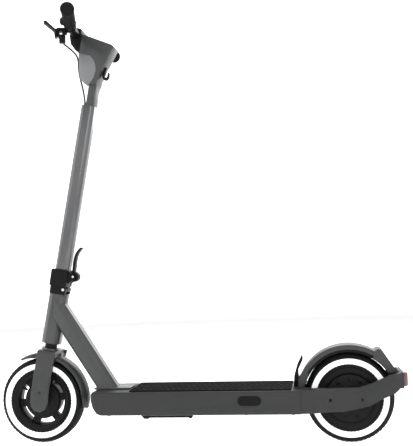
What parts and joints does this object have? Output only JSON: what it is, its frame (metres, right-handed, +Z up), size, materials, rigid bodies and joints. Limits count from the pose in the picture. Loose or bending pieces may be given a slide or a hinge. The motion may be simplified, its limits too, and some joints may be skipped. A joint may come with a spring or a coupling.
{
  "type": "electric kick scooter",
  "caption": "Folding electric kick scooter with a leaning faceted stem, swept handlebar, long flat deck, rear hub motor and mudguards.",
  "frame": {"origin": "on the ground, under the middle of the scooter's overall length and width", "axes": "+X to the rear along the deck, -Y the rider's left, +Z up"},
  "size_m": [1.049, 0.4456, 1.1141],
  "materials": {
    "frame_paint": "satin anthracite paint",
    "steel": "satin",
    "aluminium": "satin",
    "rubber_mat": "matt, ribbed",
    "black_plastic": "matt",
    "black_metal": "satin black",
    "red_lens": "clear red",
    "fender_plastic": "satin",
    "iron": "raw",
    "rubber": "matt",
    "tyre": "matt rubber with a white side band",
    "head_plastic": "satin grey",
    "clear_lens": "clear",
    "display": "gloss black",
    "cable": "satin",
    "button": "satin"
  },
  "bodies": {
    "frame": {"head_tube": "frame_paint", "down_tube": "frame_paint", "headset_bearings": "steel", "deck_shell": "frame_paint", "deck_base_plate": "aluminium", "deck_mat": "rubber_mat", "battery_pack": "black_plastic", "controller": "aluminium", "charge_socket": "black_plastic", "kickstand_bracket": "black_metal", "rear_arms": "frame_paint", "tail_bridge": "frame_paint", "tail_light_lens": "red_lens", "rear_fender": "fender_plastic", "fender_catch": "black_plastic", "rear_axle": "steel", "rear_axle_spacers": "steel", "motor_stator": "iron", "frame_screws": "steel"},
    "port_cover": {"port_cover": "rubber"},
    "kickstand": {"kickstand": "black_metal"},
    "rear_wheel": {"rear_tyre": "tyre", "motor_shell": "black_metal", "motor_magnets": "iron", "motor_covers": "black_metal", "rear_bearings": "steel"},
    "fork": {"fork": "frame_paint", "fork_leg_covers": "fender_plastic", "steerer_tube": "steel", "front_axle": "steel", "front_fender": "fender_plastic", "brake_plate": "black_metal", "fold_base": "black_metal", "fold_hinge_pin": "steel"},
    "front_wheel": {"front_tyre": "tyre", "front_rim": "black_metal", "front_bearings": "steel"},
    "brake_shoe_front": {"brake_shoe_front": "iron"},
    "brake_shoe_rear": {"brake_shoe_rear": "iron"},
    "brake_arm": {"brake_arm": "steel"},
    "stem": {"stem_collar": "black_metal", "stem_tube": "frame_paint", "head_shell": "frame_paint", "head_cover": "head_plastic", "headlight_lens": "clear_lens", "display_panel": "display", "handlebar": "black_metal", "grips": "rubber", "bar_clamp": "black_metal", "brake_perch": "black_metal", "lever_pins": "steel", "bag_hook": "black_plastic", "bell": "black_metal", "throttle_housing": "black_plastic", "brake_cable": "cable"},
    "fold_lever": {"fold_lever": "black_metal"},
    "brake_lever": {"brake_lever": "black_metal"},
    "throttle_lever": {"throttle_lever": "black_plastic"},
    "bell_striker": {"bell_striker": "black_plastic"},
    "power_button": {"power_button": "button"}
  },
  "joints": [
    {"name": "steering", "type": "hinge", "parent": "frame", "child": "fork", "pos_m": [-0.3789, 0, 0.317], "axis": [0.1882, 0, 0.9821], "range_deg": [-60, 60]},
    {"name": "front_wheel_spin", "type": "hinge", "parent": "fork", "child": "front_wheel", "pos_m": [-0.4145, 0, 0.11], "axis": [0, 1, 0], "continuous": true},
    {"name": "rear_wheel_spin", "type": "hinge", "parent": "frame", "child": "rear_wheel", "pos_m": [0.3835, 0, 0.11], "axis": [0, 1, 0], "continuous": true},
    {"name": "stem_fold", "type": "hinge", "parent": "fork", "child": "stem", "pos_m": [-0.34758, 0, 0.39805], "axis": [0, 1, 0], "range_deg": [0, 92]},
    {"name": "fold_lever_turn", "type": "hinge", "parent": "stem", "child": "fold_lever", "pos_m": [-0.32235, 0, 0.4314], "axis": [0, 1, 0], "range_deg": [0, 35]},
    {"name": "brake_lever_squeeze", "type": "hinge", "parent": "stem", "child": "brake_lever", "pos_m": [-0.32053, -0.09333, 1.06125], "axis": [-0.0026, 0, 1], "range_deg": [0, 15], "stiffness_Nm_per_rad": 0.6, "springref_deg": -5.73},
    {"name": "throttle_turn", "type": "hinge", "parent": "stem", "child": "throttle_lever", "pos_m": [-0.28666, 0.09578, 1.07934], "axis": [-0.2696, -0.963, -0.0007], "range_deg": [0, 25], "stiffness_Nm_per_rad": 0.3, "springref_deg": -5.73},
    {"name": "bell_flick", "type": "hinge", "parent": "stem", "child": "bell_striker", "pos_m": [-0.29127, -0.10121, 1.09625], "axis": [0.7903, 0.2209, -0.5715], "range_deg": [0, 20], "stiffness_Nm_per_rad": 0.02, "springref_deg": -5.73},
    {"name": "power_button_press", "type": "slide", "parent": "stem", "child": "power_button", "axis": [-0.3989, 0, -0.917], "range_m": [0, 0.001], "stiffness_N_per_m": 200, "springref_m": -0.0005},
    {"name": "brake_cam_turn", "type": "hinge", "parent": "fork", "child": "brake_arm", "pos_m": [-0.40885, 0.025, 0.13946], "axis": [0, 1, 0], "range_deg": [0, 20]},
    {"name": "front_shoe_spread", "type": "hinge", "parent": "fork", "child": "brake_shoe_front", "pos_m": [-0.41977, 0.013, 0.0825], "axis": [0, -1, 0], "range_deg": [0, 1.4]},
    {"name": "rear_shoe_spread", "type": "hinge", "parent": "fork", "child": "brake_shoe_rear", "pos_m": [-0.41977, 0.02, 0.0825], "axis": [0, 1, 0], "range_deg": [0, 1.4]},
    {"name": "kickstand_swing", "type": "hinge", "parent": "frame", "child": "kickstand", "pos_m": [-0.1225, -0.054, 0.075], "axis": [0, 1, 0], "range_deg": [0, 95]},
    {"name": "port_cover_swing", "type": "hinge", "parent": "frame", "child": "port_cover", "pos_m": [0.11, -0.0806, 0.1145], "axis": [0, 0, -1], "range_deg": [0, 100]}
  ],
  "couplings": [
    {"joint": "brake_cam_turn", "follows": "brake_lever_squeeze", "ratio": 1.28},
    {"joint": "front_shoe_spread", "follows": "brake_lever_squeeze", "ratio": 0.09},
    {"joint": "rear_shoe_spread", "follows": "brake_lever_squeeze", "ratio": 0.09}
  ]
}
